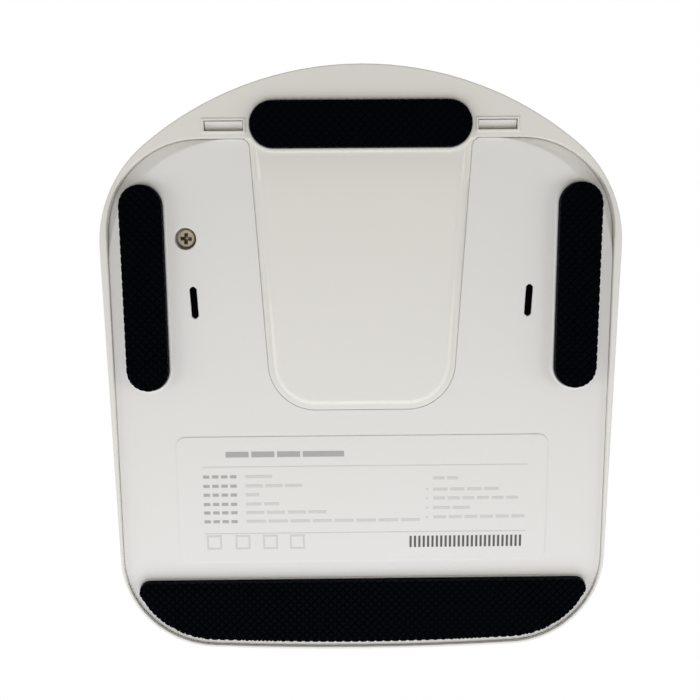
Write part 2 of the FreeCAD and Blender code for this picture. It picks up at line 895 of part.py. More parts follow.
def transformer():
    """Bobbin on the board, with a core round it."""
    middle = board_point(transformer_place)
    half = transformer_core / 2
    bobbin = transformer_bobbin / 2
    top = middle.x + transformer_height
    core = block((top - transformer_core_depth, top), (middle.y - half, middle.y + half),
                 (middle.z - bobbin, middle.z + bobbin))
    winding = block((middle.x, middle.x + transformer_bobbin_height),
                    (middle.y - bobbin, middle.y + bobbin), (middle.z - half, middle.z + half))
    return core.fuse(winding).removeSplitter()


def standing_box(width, thickness, height, place):
    """Block-shaped component that stands on the power board."""
    foot = board_point(place)
    return block((foot.x, foot.x + height), (foot.y - width / 2, foot.y + width / 2),
                 (foot.z - thickness / 2, foot.z + thickness / 2))


def bulk_capacitor():
    """Round can that stands on the power board."""
    foot = board_point(bulk_capacitor_place)
    return rod(bulk_capacitor_diameter, foot, foot + Vector(bulk_capacitor_height, 0, 0))


def output_capacitor():
    return standing_box(output_capacitor_width, output_capacitor_thickness, output_capacitor_height,
                        output_capacitor_place)


def choke():
    return standing_box(choke_width, choke_thickness, choke_height, choke_place)


def rectifier():
    return standing_box(rectifier_width, rectifier_thickness, rectifier_height, rectifier_place)


def fuse():
    return standing_box(fuse_width, fuse_thickness, fuse_height, fuse_place)


def heat_sink():
    """Folded sheet beside the transformer, standing on the board."""
    middle = board_point(heat_sink_place)
    half = heat_sink_width / 2
    sheet = block((middle.x, middle.x + heat_sink_height), (middle.y - half, middle.y + half),
                  (middle.z, middle.z + heat_sink_fin))
    for side in (-1, 1):
        end = middle.y + side * (half - heat_sink_fin / 2)
        sheet = sheet.fuse(block((middle.x + heat_sink_reach, middle.x + heat_sink_height),
                                 (end - heat_sink_fin / 2, end + heat_sink_fin / 2),
                                 (middle.z, middle.z + heat_sink_reach)))
    return sheet.removeSplitter()


def beacon_board():
    """Upright board behind the window, held by clips on the tower's front."""
    low = pipe_level - beacon_board_drop
    face = beacon_board_face()
    return block((-beacon_board_width / 2, beacon_board_width / 2), (face, face + board_thickness),
                 (low, low + beacon_board_height))


def beacon_emitters():
    """Row of infrared emitters on the beacon board, behind the window's middle."""
    emitters = []
    face = beacon_board_face() - part_gap
    for place in range(emitter_count):
        x = (place - (emitter_count - 1) / 2) * emitter_pitch
        half = emitter_width / 2
        emitters.append(block((x - half, x + half), (face - emitter_length, face),
                              (window_middle - half, window_middle + half)))
    return Part.makeCompound(emitters)


def indicator_lamp():
    """Lamp on the beacon board, right behind the light pipe."""
    pipe_end = tower_front + wall + seat_gap + pipe_flange_thickness
    return block((-lamp_width / 2, lamp_width / 2), (pipe_end + fit_gap, beacon_board_face() - part_gap),
                 (pipe_level - lamp_height / 2, pipe_level + lamp_height / 2))


pieces = {
    "lower_case": lower_case,
    "bottom_plate": bottom_plate,
    "upper_case": upper_case,
    "cable_bay": cable_bay,
    "beacon_window": beacon_window,
    "indicator_pipe": indicator_pipe,
    "mains_inlet": mains_inlet,
    "inlet_pins": inlet_pins,
    "plate_screw": plate_screw,
    "power_board": power_board,
    "transformer": transformer,
    "bulk_capacitor": bulk_capacitor,
    "output_capacitor": output_capacitor,
    "choke": choke,
    "rectifier": rectifier,
    "fuse": fuse,
    "heat_sink": heat_sink,
    "beacon_board": beacon_board,
    "beacon_emitters": beacon_emitters,
    "indicator_lamp": indicator_lamp,
}

os.makedirs("parts", exist_ok=True)
for name, make in pieces.items():
    make().exportStep("parts/" + name + ".step")
for name, circles, place in (("rear_pad", rear_pad_outline, rear_pad_place),
                             ("left_pad", side_pad_outline, left_pad_place),
                             ("right_pad", side_pad_outline, right_pad_place),
                             ("front_pad", front_pad_circles, front_pad_place)):
    pad(circles, place).exportStep("parts/" + name + ".step")
for name, side in (("left_slot_seal", -1), ("right_slot_seal", 1)):
    slot_seal(side).exportStep("parts/" + name + ".step")
for name, make in (("contact", contact), ("contact_cup", contact_cup), ("contact_spring", contact_spring)):
    make().exportStep("parts/right_" + name + ".step")
    mirrored(make()).exportStep("parts/left_" + name + ".step")
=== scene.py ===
import bmesh
import bpy
import json
import math
from mathutils import Matrix, Vector


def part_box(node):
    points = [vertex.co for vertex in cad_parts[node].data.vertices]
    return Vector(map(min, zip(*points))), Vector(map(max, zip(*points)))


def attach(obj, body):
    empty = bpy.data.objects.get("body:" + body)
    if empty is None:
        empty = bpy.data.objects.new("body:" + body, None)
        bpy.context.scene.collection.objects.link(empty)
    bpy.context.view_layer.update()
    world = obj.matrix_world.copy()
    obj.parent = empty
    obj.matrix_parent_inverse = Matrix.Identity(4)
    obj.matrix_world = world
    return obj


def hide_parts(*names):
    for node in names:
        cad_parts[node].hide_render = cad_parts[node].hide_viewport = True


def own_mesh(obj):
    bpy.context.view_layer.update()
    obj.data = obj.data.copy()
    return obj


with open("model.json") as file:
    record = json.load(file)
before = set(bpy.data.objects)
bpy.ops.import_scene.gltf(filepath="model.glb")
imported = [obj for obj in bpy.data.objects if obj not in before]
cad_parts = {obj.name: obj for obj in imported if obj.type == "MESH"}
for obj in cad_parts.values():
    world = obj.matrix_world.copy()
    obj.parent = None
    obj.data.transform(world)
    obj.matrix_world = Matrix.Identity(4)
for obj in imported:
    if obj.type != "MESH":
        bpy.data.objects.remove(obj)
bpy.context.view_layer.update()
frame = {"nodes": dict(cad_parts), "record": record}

# Charging dock seen from below. Lengths are in metres; MM turns millimetres into metres.
MM = 0.001
WELD = 0.001 * MM

# Camera of the photograph: it looks up at the underside from close by
PHOTO_SIZE = 700.0
SENSOR = 36.0
FOCUS_PIXELS = 850.0
AIM = Vector((3.0, 5.77, 1.8)) * MM
DISTANCE = 213.7 * MM
ROLL = math.radians(0.42)
PITCH = math.radians(9.48)
YAW = math.radians(0.54)
CLIP_START = 5 * MM

# Light: the front and the sides of the underside, the dock from above, and an even glow from all round.
# A lamp has its place and size in metres, its power in watts and its colour.
LAMPS = {
    "under_front_lamp": ((0.02, -0.28, -0.3), 0.5, 1.56, "F2F5FF"),
    "under_left_lamp": ((0.75, -0.12, -0.25), 0.4, 2.0, "FFFFFF"),
    "under_right_lamp": ((-0.75, -0.12, -0.25), 0.4, 2.1, "FFFFFF"),
    "upper_front_lamp": ((-0.35, -0.6, 0.75), 0.6, 2.6, "FFFFFF"),
    "upper_rear_lamp": ((0.5, 0.7, 0.5), 0.6, 2.4, "FFFFFF"),
    "ceiling_lamp": ((0.0, 0.0, 3.0), 8.0, 95.0, "FFFFFF"),
}
LAMP_TARGET = Vector((0, 0, 0.03))
GLOW_LEVEL = 0.315
GLOW_COLOUR = "FFF9ED"
FLOOR_REACH = 3.0
FLOOR_DROP = 0.2 * MM

# Knurl of the rubber pads
KNURL_PITCH = 1.5 * MM
KNURL_FLANK = 0.42 * MM
KNURL_DEPTH = 0.45 * MM
KNURL_ROOM = 4.0 * MM

# Plate screw
SCREW_HEAD = 1.8 * MM
SCREW_RIM = 0.36 * MM
SCREW_CHAMFER = 0.3 * SCREW_RIM
SCREW_SLOPE = 1.1 * MM
SCREW_STEPS = 48
THREAD_PITCH = 0.8 * MM
THREAD_DEPTH = 0.25 * MM
CROSS_LENGTH = 2.85 * MM
CROSS_WIDTH = 0.9 * MM
CROSS_DEPTH = 1.5 * MM
CROSS_TAPER = 0.3
CROSS_TURN = math.radians(4)

# Creases that run out softly, in millimetres: the slope round the tongue to its rear, and the facets of the
# plate's rear corners. The radius grows over the reaches to the side, to the rear and back from the rear.
TONGUE_SLOPE = {"radius": 2.6, "reaches": ((31.0, 29.8), (10.0, 27.0), (48.5, 47.0))}
PLATE_CORNERS = {"radius": 0.9, "reaches": ((33.0, 38.0), (34.0, 40.0), (80.0, 75.0))}

# Generic print on the plate's panel, in millimetres: dashes in rows, square marks and even bars
PANEL_LEVEL = 1.9
PRINT_THICKNESS = 0.03
LINE_WIDTH = 0.25
DASH_HEIGHT = 0.8
DASH_SPACE = 0.7
DIVIDER_LEVELS = (-24.5, -42.5)
DIVIDER_REACH = (41.2, -42.6)
TITLE_LEVEL = -21.2
TITLE_HEIGHT = 1.5
TITLE_DASHES = ((35.1, 29.2), (28.5, 22.6), (21.9, 16.0), (15.3, 4.7))
TERM_ROWS = (-27.1, -29.6, -32.0, -34.5, -36.8, -39.2)
TERM_REACH = (41.1, 32.5)
TERM_DASHES = 4
VALUE_START = 30.2
VALUE_ENDS = (23.3, 15.6, 26.7, 21.6, 9.4, -14.9)
VALUE_DASH = 5.3
NOTE_ROWS = (-28.0, -31.0, -33.4, -36.0, -38.5)
NOTE_START = -18.3
NOTE_ENDS = (-24.7, -35.2, -40.4, -27.8, -42.1)
NOTE_DASH = 3.4
BULLET = -16.5
BULLET_SIZE = 0.5
MARK_PLACES = (38.7, 31.3, 24.1, 17.1)
MARK_LEVEL = -44.9
MARK_SIZE = 3.4
BAR_REACH = (-12.2, -42.0)
BAR_LEVELS = (-43.6, -46.7)
BAR_COUNT = 26
BAR_SHARE = 0.5

# Sockets of a Mix node for colours
SHARE, FIRST, SECOND, MIXED = 0, 6, 7, 2


def linear(code):
    """Linear colour of an sRGB hex value."""
    shares = [int(code[place:place + 2], 16) / 255 for place in (0, 2, 4)]
    return (*[s / 12.92 if s <= 0.04045 else ((s + 0.055) / 1.055) ** 2.4 for s in shares], 1.0)


def per_mm(size):
    """Texture scale that gives a pattern of a size in millimetres on Object coordinates."""
    return 1.0 / (size * MM)


def add(tree, kind, values, **settings):
    """Adds a shader node with its settings; a value that is another node's socket is linked."""
    made = tree.nodes.new("ShaderNode" + kind)
    for name, setting in settings.items():
        setattr(made, name, setting)
    for name, value in values.items():
        if isinstance(value, bpy.types.NodeSocket):
            tree.links.new(value, made.inputs[name])
        else:
            made.inputs[name].default_value = value
    return made


def new_material(name):
    """Empty node material and its tree."""
    material = bpy.data.materials.new(name)
    material.use_nodes = True
    material.node_tree.nodes.clear()
    return material, material.node_tree


# Materials

def moulded_plastic(name, colour, shade, rough, grain, grain_depth, edge, run_out=None):
    """Plastic from an eroded tool: an even satin skin, a hint of flow in the tone, edges softened by the tool.

    The grain is finer on a real skin and is drawn as coarse as it needs to show."""
    material, tree = new_material(name)
    place = add(tree, "TexCoord", {}).outputs["Object"]
    flow = add(tree, "TexNoise", {"Vector": place, "Scale": per_mm(45.0), "Detail": 2.0})
    tone = add(tree, "Mix", {SHARE: flow.outputs["Fac"], FIRST: linear(colour), SECOND: linear(shade)},
               data_type="RGBA")
    skin = add(tree, "TexNoise", {"Vector": place, "Scale": per_mm(grain), "Detail": 3.0, "Roughness": 0.6})
    sheen = add(tree, "MapRange", {"Value": skin.outputs["Fac"], "To Min": rough - 0.06, "To Max": rough + 0.06})
    radius = edge * MM
    if run_out:
        split = add(tree, "SeparateXYZ", {"Vector": place})
        aside = add(tree, "Math", {0: split.outputs["X"]}, operation="ABSOLUTE").outputs[0]
        share = 1.0
        for value, reach in zip((aside, split.outputs["Y"], split.outputs["Y"]), run_out["reaches"]):
            grown = add(tree, "MapRange", {"Value": value, "From Min": reach[0] * MM, "From Max": reach[1] * MM})
            share = add(tree, "Math", {0: share, 1: grown.outputs["Result"]}, operation="MULTIPLY").outputs[0]
        radius = add(tree, "MapRange", {"Value": share, "To Min": edge * MM,
                                        "To Max": run_out["radius"] * MM}).outputs["Result"]
    soft = add(tree, "Bevel", {"Radius": radius}, samples=8)
    bump = add(tree, "Bump", {"Height": skin.outputs["Fac"], "Distance": grain_depth * MM, "Strength": 0.5,
                              "Normal": soft.outputs["Normal"]})
    body = add(tree, "BsdfPrincipled", {"Base Color": tone.outputs[MIXED], "Roughness": sheen.outputs["Result"],
                                        "IOR": 1.53, "Normal": bump.outputs["Normal"]})
    add(tree, "OutputMaterial", {"Surface": body.outputs["BSDF"]})
    return material


def knurled_rubber():
    """Black natural rubber, moulded: matt blue-black crests, a little grey dust in the grooves."""
    material, tree = new_material("moulded_black_rubber")
    place = add(tree, "TexCoord", {}).outputs["Object"]
    bloom = add(tree, "TexNoise", {"Vector": place, "Scale": per_mm(6.0), "Detail": 4.0})
    height = add(tree, "SeparateXYZ", {"Vector": place}).outputs["Z"]
    crest = add(tree, "MapRange", {"Value": height, "From Min": 0.0, "From Max": KNURL_DEPTH,
                                   "To Min": 1.0, "To Max": 0.0})
    skin = add(tree, "Mix", {SHARE: bloom.outputs["Fac"], FIRST: linear("010206"), SECOND: linear("03050A")},
               data_type="RGBA")
    tone = add(tree, "Mix", {SHARE: crest.outputs["Result"], FIRST: linear("0B0D12"), SECOND: skin.outputs[MIXED]},
               data_type="RGBA")
    pores = add(tree, "TexNoise", {"Vector": place, "Scale": per_mm(0.25), "Detail": 2.0})
    sheen = add(tree, "MapRange", {"Value": bloom.outputs["Fac"], "To Min": 0.5, "To Max": 0.7})
    bump = add(tree, "Bump", {"Height": pores.outputs["Fac"], "Distance": 0.03 * MM, "Strength": 0.4})
    body = add(tree, "BsdfPrincipled", {"Base Color": tone.outputs[MIXED], "Roughness": sheen.outputs["Result"],
                                        "IOR": 1.52, "Specular IOR Level": 0.035, "Normal": bump.outputs["Normal"]})
    add(tree, "OutputMaterial", {"Surface": body.outputs["BSDF"]})
    return material


def plated_metal(name, colour, tarnish, rough, streak, across):
    """Nickel plate or plain steel: fine rolling or turning marks, thin tarnish in patches, brown painted shade in
    hollows.

    The marks are finer on real metal and are drawn as coarse as they need to show."""
    material, tree = new_material(name)
    place = add(tree, "TexCoord", {}).outputs["Object"]
    stretched = add(tree, "Mapping", {"Vector": place, "Scale": across})
    marks = add(tree, "TexNoise", {"Vector": stretched.outputs["Vector"], "Scale": per_mm(streak), "Detail": 3.0})
    patches = add(tree, "TexNoise", {"Vector": place, "Scale": per_mm(2.5), "Detail": 3.0})
    tone = add(tree, "Mix", {SHARE: patches.outputs["Fac"], FIRST: linear(colour), SECOND: linear(tarnish)},
               data_type="RGBA")
    # Painted shade: the tone turns brown where the part's own hollows occlude it
    occlusion = add(tree, "AmbientOcclusion", {"Distance": 0.8 * MM}, samples=6, only_local=True)
    unshaded = add(tree, "MapRange", {"Value": occlusion.outputs["AO"], "From Min": 0.25, "From Max": 0.8})
    painted_shade = add(tree, "Mix", {SHARE: unshaded.outputs["Result"], FIRST: linear("6E5836"), SECOND: tone.outputs[MIXED]},
                 data_type="RGBA")
    sheen = add(tree, "MapRange", {"Value": marks.outputs["Fac"], "To Min": rough - 0.08, "To Max": rough + 0.1})
    soft = add(tree, "Bevel", {"Radius": 0.25 * MM}, samples=4)
    bump = add(tree, "Bump", {"Height": marks.outputs["Fac"], "Distance": 0.01 * MM, "Strength": 0.4,
                              "Normal": soft.outputs["Normal"]})
    body = add(tree, "BsdfPrincipled", {"Base Color": painted_shade.outputs[MIXED], "Metallic": 1.0,
                                        "Roughness": sheen.outputs["Result"], "Normal": bump.outputs["Normal"]})
    add(tree, "OutputMaterial", {"Surface": body.outputs["BSDF"]})
    return material


def infrared_resin():
    """Dark violet-black polycarbonate, polished: deep gloss with a trace of orange peel."""
    material, tree = new_material("polished_infrared_resin")
    place = add(tree, "TexCoord", {}).outputs["Object"]
    peel = add(tree, "TexNoise", {"Vector": place, "Scale": per_mm(7.0), "Detail": 1.0})
    tone = add(tree, "Mix", {SHARE: peel.outputs["Fac"], FIRST: linear("0B090D"), SECOND: linear("120E14")},
               data_type="RGBA")
    haze = add(tree, "MapRange", {"Value": peel.outputs["Fac"], "To Min": 0.06, "To Max": 0.12})
    soft = add(tree, "Bevel", {"Radius": 0.3 * MM}, samples=4)
    bump = add(tree, "Bump", {"Height": peel.outputs["Fac"], "Distance": 0.02 * MM, "Strength": 0.15,
                              "Normal": soft.outputs["Normal"]})
    body = add(tree, "BsdfPrincipled", {"Base Color": tone.outputs[MIXED], "Roughness": haze.outputs["Result"],
                                        "IOR": 1.58, "Normal": bump.outputs["Normal"]})
    add(tree, "OutputMaterial", {"Surface": body.outputs["BSDF"]})
    return material


def inner_finish(name, colour, shade, pattern, rough, metal=0.0, shine=0.5):
    """Finish of a part inside the case: its tone in patches of one size, with a fine bump."""
    material, tree = new_material(name)
    place = add(tree, "TexCoord", {}).outputs["Object"]
    patch = add(tree, "TexNoise", {"Vector": place, "Scale": per_mm(pattern), "Detail": 3.0})
    tone = add(tree, "Mix", {SHARE: patch.outputs["Fac"], FIRST: linear(colour), SECOND: linear(shade)},
               data_type="RGBA")
    sheen = add(tree, "MapRange", {"Value": patch.outputs["Fac"], "To Min": rough - 0.05, "To Max": rough + 0.1})
    bump = add(tree, "Bump", {"Height": patch.outputs["Fac"], "Distance": 0.04 * MM, "Strength": 0.3})
    body = add(tree, "BsdfPrincipled", {"Base Color": tone.outputs[MIXED], "Metallic": metal,
                                        "Specular IOR Level": shine, "Roughness": sheen.outputs["Result"],
                                        "Normal": bump.outputs["Normal"]})
    add(tree, "OutputMaterial", {"Surface": body.outputs["BSDF"]})
    return material


def board_resist():
    """Green solder resist over copper: straight tracks a millimetre wide show through as paler lines."""
    material, tree = new_material("green_solder_resist")
    place = add(tree, "TexCoord", {}).outputs["Object"]
    tracks = add(tree, "TexBrick", {"Vector": place, "Scale": per_mm(12.0), "Mortar Size": 0.08,
                                    "Color1": linear("1B5A34"), "Color2": linear("1F6339"),
                                    "Mortar": linear("2F7F4B")})
    weave = add(tree, "TexNoise", {"Vector": place, "Scale": per_mm(0.6), "Detail": 2.0})
    sheen = add(tree, "MapRange", {"Value": weave.outputs["Fac"], "To Min": 0.3, "To Max": 0.45})
    bump = add(tree, "Bump", {"Height": tracks.outputs["Fac"], "Distance": 0.04 * MM, "Strength": 0.4})
    body = add(tree, "BsdfPrincipled", {"Base Color": tracks.outputs["Color"], "Normal": bump.outputs["Normal"],
                                        "Roughness": sheen.outputs["Result"], "IOR": 1.5})
    add(tree, "OutputMaterial", {"Surface": body.outputs["BSDF"]})
    return material


def pad_ink(name, colour, shade):
    """Pad-printed ink: matt, with a slightly uneven cover."""
    material, tree = new_material(name)
    place = add(tree, "TexCoord", {}).outputs["Object"]
    cover = add(tree, "TexNoise", {"Vector": place, "Scale": per_mm(0.5), "Detail": 2.0})
    tone = add(tree, "Mix", {SHARE: cover.outputs["Fac"], FIRST: linear(colour), SECOND: linear(shade)},
               data_type="RGBA")
    body = add(tree, "BsdfPrincipled", {"Base Color": tone.outputs[MIXED], "Roughness": 0.55, "IOR": 1.5})
    add(tree, "OutputMaterial", {"Surface": body.outputs["BSDF"]})
    return material


FINISHES = {
    # Moulded ABS with a fine satin skin: clean white, a soft sheen along the rounded edges
    "case_white": moulded_plastic("satin_white_abs", "EEEDEA", "EAE8E4", 0.36, 0.5, 0.02, 0.7),
    # Moulded ABS with a matt skin: slightly warm white, without a mirror
    "base_white": moulded_plastic("matt_warm_white_abs", "E4E2DB", "E1DFD8", 0.46, 0.45, 0.03, 0.5, TONGUE_SLOPE),
    # Moulded ABS with the same matt skin: a trace cooler than the base
    "plate_white": moulded_plastic("matt_white_abs", "E3E2DE", "E0DFDA", 0.46, 0.45, 0.03, 0.35, PLATE_CORNERS),
    # Moulded ABS a step darker: the bay reads as a separate moulding
    "bay_grey": moulded_plastic("matt_pale_grey_abs", "DDDBD6", "D8D6D0", 0.5, 0.45, 0.03, 0.4),
    # Moulded ABS for an inner part: plain mid grey, matt
    "cup_grey": moulded_plastic("matt_grey_abs", "8C8C8A", "848482", 0.5, 0.45, 0.03, 0.3),
    # Moulded polyamide: near black and dry, with pale edges
    "inlet_black": moulded_plastic("matt_black_polyamide", "131314", "1B1B1C", 0.5, 0.4, 0.03, 0.3),
    # Polycarbonate from a blasted tool: milky and pale
    "pipe_frosted": moulded_plastic("frosted_polycarbonate", "E4EAEC", "D8DFE2", 0.42, 0.3, 0.02, 0.2),
    "window_dark": infrared_resin(),
    "pad_rubber": knurled_rubber(),
    # Turned pins: bright warm metal with fine lines along them
    "pin_nickel": plated_metal("turned_nickel_plate", "C9C3B6", "B7AF9F", 0.24, 0.15, (1.0, 0.1, 1.0)),
    # Old plate on a screw: dull, warm and patchy
    "screw_nickel": plated_metal("tarnished_nickel_plate", "E4DAC8", "C4B69E", 0.36, 0.12, (1.0, 1.0, 1.0)),
    # Plate on rolled strip: bright, with fine lines across the dock
    "contact_nickel": plated_metal("rolled_nickel_plate", "D3CFC6", "C4BFB3", 0.22, 0.12, (0.08, 1.0, 1.0)),
    # Rolled spring strip: cool grey metal with lines along it
    "spring_steel": plated_metal("rolled_spring_steel", "B4B4B6", "A2A2A4", 0.3, 0.12, (0.1, 1.0, 1.0)),
    "board_laminate": board_resist(),
    # Polyester film wound over a coil: warm yellow with a soft shine
    "transformer_tape": inner_finish("yellow_polyester_tape", "D6B23C", "C49E2C", 3.0, 0.35),
    # Film shrunk over a can: dark blue and shiny
    "capacitor_sleeve": inner_finish("dark_shrink_sleeve", "141B2C", "1D2740", 4.0, 0.3),
    # Moulded box: yellow and waxy
    "capacitor_box": inner_finish("yellow_moulded_box", "C9A83A", "B9962E", 2.0, 0.4),
    # Pressed and sintered powder: dark grey and dull, grained like stone
    "choke_ferrite": inner_finish("sintered_ferrite", "2A2A2C", "38383A", 0.6, 0.6),
    # Filled epoxy from a blasted mould: matt black
    "package_black": inner_finish("moulded_epoxy", "121213", "1C1C1E", 0.5, 0.5),
    # Moulded case: satin black
    "fuse_case": inner_finish("black_thermoplastic", "161617", "202022", 1.0, 0.4),
    # Mill-finished sheet: pale metal with a cloudy sheen
    "sink_aluminium": inner_finish("plain_aluminium_sheet", "C8C9CB", "B6B7BA", 1.5, 0.32, 1.0),
    # Foamed sheet, near black and without shine: painted shade, a dark sheet that stands in for the shade inside the
    # slots
    "foam_black": inner_finish("painted_slot_shade_foam", "020202", "050505", 0.4, 0.8, shine=0.01),
    # Cast tinted epoxy: a dark lens that looks wet
    "emitter_resin": inner_finish("tinted_epoxy_lens", "2A2230", "342A3A", 1.0, 0.15),
    # Cast epoxy with a diffuser: milky and even
    "lamp_resin": inner_finish("diffuse_epoxy", "EFEBD8", "E4DFC8", 1.0, 0.35),
}
DARK_INK = pad_ink("dark_grey_pad_ink", "4C4C4B", "5C5C5A")
GREY_INK = pad_ink("mid_grey_pad_ink", "A3A3A0", "AFAFAC")
PALE_INK = pad_ink("pale_grey_pad_ink", "CBCBC7", "D2D2CE")

for part in frame["record"]["subparts"]:
    shown = frame["nodes"][part["node"]].data
    shown.materials.clear()
    shown.materials.append(FINISHES[part["material_slot"]])


# Pieces

def place_piece(mesh, name, slot, *nodes):
    """Makes a finished mesh a piece of the dock that stands for the given nodes."""
    piece = bpy.data.objects.new(name, mesh)
    bpy.context.scene.collection.objects.link(piece)
    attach(piece, "dock")
    if nodes:
        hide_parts(*nodes)
    return piece


def mesh_of(bm, name):
    """Outward-facing mesh of a bmesh, which is freed."""
    bmesh.ops.recalc_face_normals(bm, faces=bm.faces[:])
    mesh = bpy.data.meshes.new(name)
    bm.to_mesh(mesh)
    bm.free()
    return mesh


def solid_mesh(node, name):
    """Mesh of a node's solid with its faces joined."""
    bm = bmesh.new()
    bm.from_mesh(frame["nodes"][node].data)
    bmesh.ops.remove_doubles(bm, verts=bm.verts[:], dist=WELD)
    return mesh_of(bm, name)


def carve(mesh, tool, operation, name):
    """Mesh that is left when a tool mesh is cut from, or kept in common with, another one."""
    blank = bpy.data.objects.new(name + "_blank", mesh)
    cutter = bpy.data.objects.new(name + "_cutter", tool)
    for item in (blank, cutter):
        bpy.context.scene.collection.objects.link(item)
    carving = blank.modifiers.new("carve", "BOOLEAN")
    carving.operation = operation
    carving.solver = "EXACT"
    carving.object = cutter
    view = bpy.context.evaluated_depsgraph_get()
    carved = bpy.data.meshes.new_from_object(blank.evaluated_get(view))
    carved.name = name
    carved.materials.clear()
    for item in (blank, cutter):
        bpy.data.objects.remove(item)
    return carved


def knurled_pad(node):
    """Rubber pad on its solid's outline, with rows of flat-topped diamonds on its underside."""
    low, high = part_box(node)
    middle = (low + high) / 2
    reach = (high - low).length / 2 + KNURL_PITCH
    cells = math.ceil(2 * reach / KNURL_PITCH)
    diagonal = Matrix.Translation((middle.x, middle.y, KNURL_DEPTH)) @ Matrix.Rotation(math.pi / 4, 4, "Z")
    bm = bmesh.new()
    bmesh.ops.create_grid(bm, x_segments=cells, y_segments=cells, size=cells * KNURL_PITCH / 2, matrix=diagonal)
    outside = [face for face in bm.faces
               if abs(face.calc_center_median().x - middle.x) > (high.x - low.x) / 2 + KNURL_PITCH
               or abs(face.calc_center_median().y - middle.y) > (high.y - low.y) / 2 + KNURL_PITCH]
    bmesh.ops.delete(bm, geom=outside, context="FACES")
    bmesh.ops.reverse_faces(bm, faces=bm.faces[:])
    bmesh.ops.inset_individual(bm, faces=bm.faces[:], thickness=KNURL_FLANK, depth=KNURL_DEPTH)
    border = [edge for edge in bm.edges if edge.is_boundary]
    raised = bmesh.ops.extrude_edge_only(bm, edges=border)["geom"]
    bmesh.ops.translate(bm, verts=[item for item in raised if isinstance(item, bmesh.types.BMVert)],
                        vec=(0, 0, KNURL_ROOM))
    bmesh.ops.edgeloop_fill(bm, edges=[edge for edge in bm.edges if edge.is_boundary])
    knurl = mesh_of(bm, node + "_knurl")
    mesh = carve(knurl, solid_mesh(node, node + "_outline"), "INTERSECT", node + "_knurled")
    mesh.materials.append(FINISHES["pad_rubber"])
    place_piece(mesh, node + "_knurled", "pad_rubber", node)


def cross_screw():
    """Pan-head screw with a cross recess and a rolled thread, turned about its axis."""
    low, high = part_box("plate_screw")
    axis = Vector(((low.x + high.x) / 2, (low.y + high.y) / 2, 0))
    head = (high.x - low.x) / 2
    face = head - SCREW_RIM
    seat = low.z + SCREW_HEAD
    shank = head / 2
    outline = [(0.0, low.z), (face, low.z), (face + SCREW_CHAMFER, low.z + SCREW_CHAMFER),
               (head, low.z + SCREW_SLOPE), (head, seat), (shank, seat)]
    level = seat + THREAD_PITCH / 2
    while level + THREAD_PITCH / 2 < high.z:
        outline += [(shank - THREAD_DEPTH, level), (shank, level + THREAD_PITCH / 2)]
        level += THREAD_PITCH
    outline += [(shank - THREAD_DEPTH, high.z), (0.0, high.z)]
    bm = bmesh.new()
    verts = [bm.verts.new(axis + Vector((radius, 0, height))) for radius, height in outline]
    edges = [bm.edges.new(pair) for pair in zip(verts, verts[1:])]
    bmesh.ops.spin(bm, geom=verts + edges, cent=axis, axis=(0, 0, 1), angle=2 * math.pi, steps=SCREW_STEPS,
                   use_merge=True)
    bmesh.ops.remove_doubles(bm, verts=bm.verts[:], dist=WELD)
    mesh = mesh_of(bm, "turned_screw")
    # A tapered arm has the recess's length and width in its middle, which lies in the head's face
    spread = 2 / (1 + CROSS_TAPER)
    for turn in (0.0, math.pi / 2):
        bm = bmesh.new()
        arm = bmesh.ops.create_cube(bm, size=1.0)["verts"]
        bmesh.ops.scale(bm, verts=[v for v in arm if v.co.z > 0], vec=(CROSS_TAPER, CROSS_TAPER, 1.0))
        bmesh.ops.scale(bm, verts=arm, vec=(CROSS_LENGTH * spread, CROSS_WIDTH * spread, 2 * CROSS_DEPTH))
        bmesh.ops.rotate(bm, verts=arm, cent=(0, 0, 0), matrix=Matrix.Rotation(turn + CROSS_TURN, 3, "Z"))
        bmesh.ops.translate(bm, verts=arm, vec=axis + Vector((0, 0, low.z)))
        mesh = carve(mesh, mesh_of(bm, "cross_arm"), "DIFFERENCE", "cross_screw")
    mesh.materials.append(FINISHES["screw_nickel"])
    place_piece(mesh, "cross_screw", "screw_nickel", "plate_screw")


def leaf_spring(side):
    """Folded leaf under a charging contact, made from its solid as a piece with a mesh of its own."""
    node = side + "_contact_spring"
    mesh = solid_mesh(node, side + "_leaf_spring")
    mesh.materials.append(FINISHES["spring_steel"])
    leaf = place_piece(mesh, side + "_leaf_spring", "spring_steel", node)
    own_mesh(leaf)


def strip(bm, x_reach, y_reach):
    """Thin patch of ink on the panel between two places across and two along, in millimetres."""
    patch = bmesh.ops.create_cube(bm, size=MM)["verts"]
    size = (abs(x_reach[1] - x_reach[0]), abs(y_reach[1] - y_reach[0]), PRINT_THICKNESS)
    middle = Vector((sum(x_reach) / 2, sum(y_reach) / 2, PANEL_LEVEL - PRINT_THICKNESS / 2))
    bmesh.ops.scale(bm, verts=patch, vec=size)
    bmesh.ops.translate(bm, verts=patch, vec=middle * MM)


def dashes(bm, start, end, level, length):
    """Row of equal dashes that fills a reach of one printed row."""
    count = max(1, round((start - end + DASH_SPACE) / (length + DASH_SPACE)))
    pitch = (start - end + DASH_SPACE) / count
    for place in range(count):
        left = start - place * pitch
        strip(bm, (left, left - pitch + DASH_SPACE), (level - DASH_HEIGHT / 2, level + DASH_HEIGHT / 2))


def print_patches(name, ink, draw):
    """One ink's share of the print as a piece of its own."""
    bm = bmesh.new()
    draw(bm)
    mesh = mesh_of(bm, name)
    mesh.materials.append(ink)
    place_piece(mesh, name, "plate_white")


def dark_print(bm):
    """Row of even bars at the panel's right."""
    pitch = (BAR_REACH[0] - BAR_REACH[1]) / BAR_COUNT
    for place in range(BAR_COUNT):
        left = BAR_REACH[0] - place * pitch
        strip(bm, (left, left - BAR_SHARE * pitch), BAR_LEVELS)


